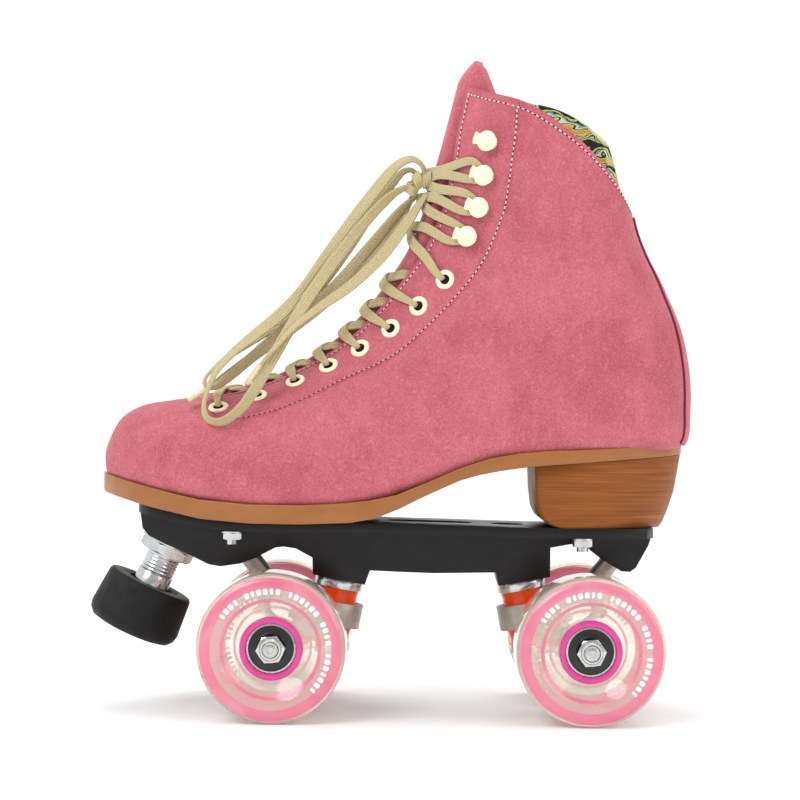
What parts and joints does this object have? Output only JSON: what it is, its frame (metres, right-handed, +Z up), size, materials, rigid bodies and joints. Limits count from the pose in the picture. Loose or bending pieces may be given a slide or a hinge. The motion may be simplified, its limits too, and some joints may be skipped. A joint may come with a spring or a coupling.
{
  "type": "quad roller skate",
  "caption": "High-top suede boot with laces on a moulded plate, with two rubber-cushioned steering trucks, paired wheels and a screw-in rubber toe stop.",
  "frame": {"origin": "on the floor under the middle of the skate's length and width", "axes": "+Z up, -X towards the toe, -Y towards the wearer's left"},
  "size_m": [0.2726, 0.128, 0.296],
  "materials": {
    "suede": "napped suede, dusty rose",
    "printed_lining": "printed cotton",
    "stiffener": "board",
    "insole": "woven",
    "cream_enamel": "satin enamel",
    "lace": "flat cotton weave",
    "aglet": "clear-coated tip",
    "sole_leather": "waxed smooth",
    "stacked_heel": "stacked, waxed",
    "nylon": "moulded, fine texture",
    "zinc_plate": "bright plate",
    "bearing_steel": "ground",
    "stop_rubber": "matt",
    "cushion": "translucent urethane",
    "cast_aluminium": "as cast",
    "urethane": "clear cast with pink print",
    "hub_core": "moulded"
  },
  "bodies": {
    "root": {"upper": "suede", "tongue": "suede", "collar_lining": "printed_lining", "heel_counter": "stiffener", "toe_puff": "stiffener", "insole": "insole", "backstay": "suede", "eyelets": "cream_enamel", "lace_hooks": "cream_enamel", "lace_under": "lace", "lace_over": "lace", "lace_knot": "lace", "bow_loop_left": "lace", "bow_loop_right": "lace", "lace_end_left": "lace", "lace_end_right": "lace", "aglets": "aglet", "outsole": "sole_leather", "heel_block": "stacked_heel", "plate": "nylon", "plate_bolts": "zinc_plate", "plate_nuts": "zinc_plate", "plate_washers": "zinc_plate", "pivot_cups": "nylon", "toe_stop_jam_nut": "zinc_plate", "toe_stop_washer": "zinc_plate", "kingpins": "zinc_plate", "kingpin_lock_nuts": "zinc_plate", "cushion_retainers": "zinc_plate", "front_cushions": "cushion", "rear_cushions": "cushion"},
    "front_truck": {"front_hanger": "cast_aluminium", "front_axle": "bearing_steel", "front_inner_races": "bearing_steel", "front_axle_washers": "zinc_plate", "front_axle_nuts": "zinc_plate"},
    "rear_truck": {"rear_hanger": "cast_aluminium", "rear_axle": "bearing_steel", "rear_inner_races": "bearing_steel", "rear_axle_washers": "zinc_plate", "rear_axle_nuts": "zinc_plate"},
    "toe_stop": {"toe_stop_rubber": "stop_rubber", "toe_stop_stem": "zinc_plate"},
    "front_left_wheel": {"front_left_tyre": "urethane", "front_left_hub": "hub_core", "front_left_bearings": "bearing_steel", "front_left_balls": "bearing_steel"},
    "front_right_wheel": {"front_right_tyre": "urethane", "front_right_hub": "hub_core", "front_right_bearings": "bearing_steel", "front_right_balls": "bearing_steel"},
    "rear_left_wheel": {"rear_left_tyre": "urethane", "rear_left_hub": "hub_core", "rear_left_bearings": "bearing_steel", "rear_left_balls": "bearing_steel"},
    "rear_right_wheel": {"rear_right_tyre": "urethane", "rear_right_hub": "hub_core", "rear_right_bearings": "bearing_steel", "rear_right_balls": "bearing_steel"}
  },
  "joints": [
    {"name": "front_truck_steer", "type": "hinge", "parent": "root", "child": "front_truck", "pos_m": [-0.02553, 0, 0.0439], "axis": [0.8218, 0, -0.5698], "range_deg": [-7, 7], "stiffness_Nm_per_rad": 30, "deforming": ["front_cushions"]},
    {"name": "rear_truck_steer", "type": "hinge", "parent": "root", "child": "rear_truck", "pos_m": [0.06303, 0, 0.0439], "axis": [-0.8218, 0, -0.5698], "range_deg": [-7, 7], "stiffness_Nm_per_rad": 30, "deforming": ["rear_cushions"]},
    {"name": "front_left_wheel_spin", "type": "hinge", "parent": "front_truck", "child": "front_left_wheel", "pos_m": [-0.0505, -0.044, 0.0325], "axis": [0, 1, 0], "continuous": true},
    {"name": "front_right_wheel_spin", "type": "hinge", "parent": "front_truck", "child": "front_right_wheel", "pos_m": [-0.0505, 0.044, 0.0325], "axis": [0, 1, 0], "continuous": true},
    {"name": "rear_left_wheel_spin", "type": "hinge", "parent": "rear_truck", "child": "rear_left_wheel", "pos_m": [0.088, -0.044, 0.0325], "axis": [0, 1, 0], "continuous": true},
    {"name": "rear_right_wheel_spin", "type": "hinge", "parent": "rear_truck", "child": "rear_right_wheel", "pos_m": [0.088, 0.044, 0.0325], "axis": [0, 1, 0], "continuous": true},
    {"name": "toe_stop_height", "type": "slide", "parent": "root", "child": "toe_stop", "axis": [-0.4163, 0, -0.9092], "range_m": [-0.003, 0.006]}
  ]
}
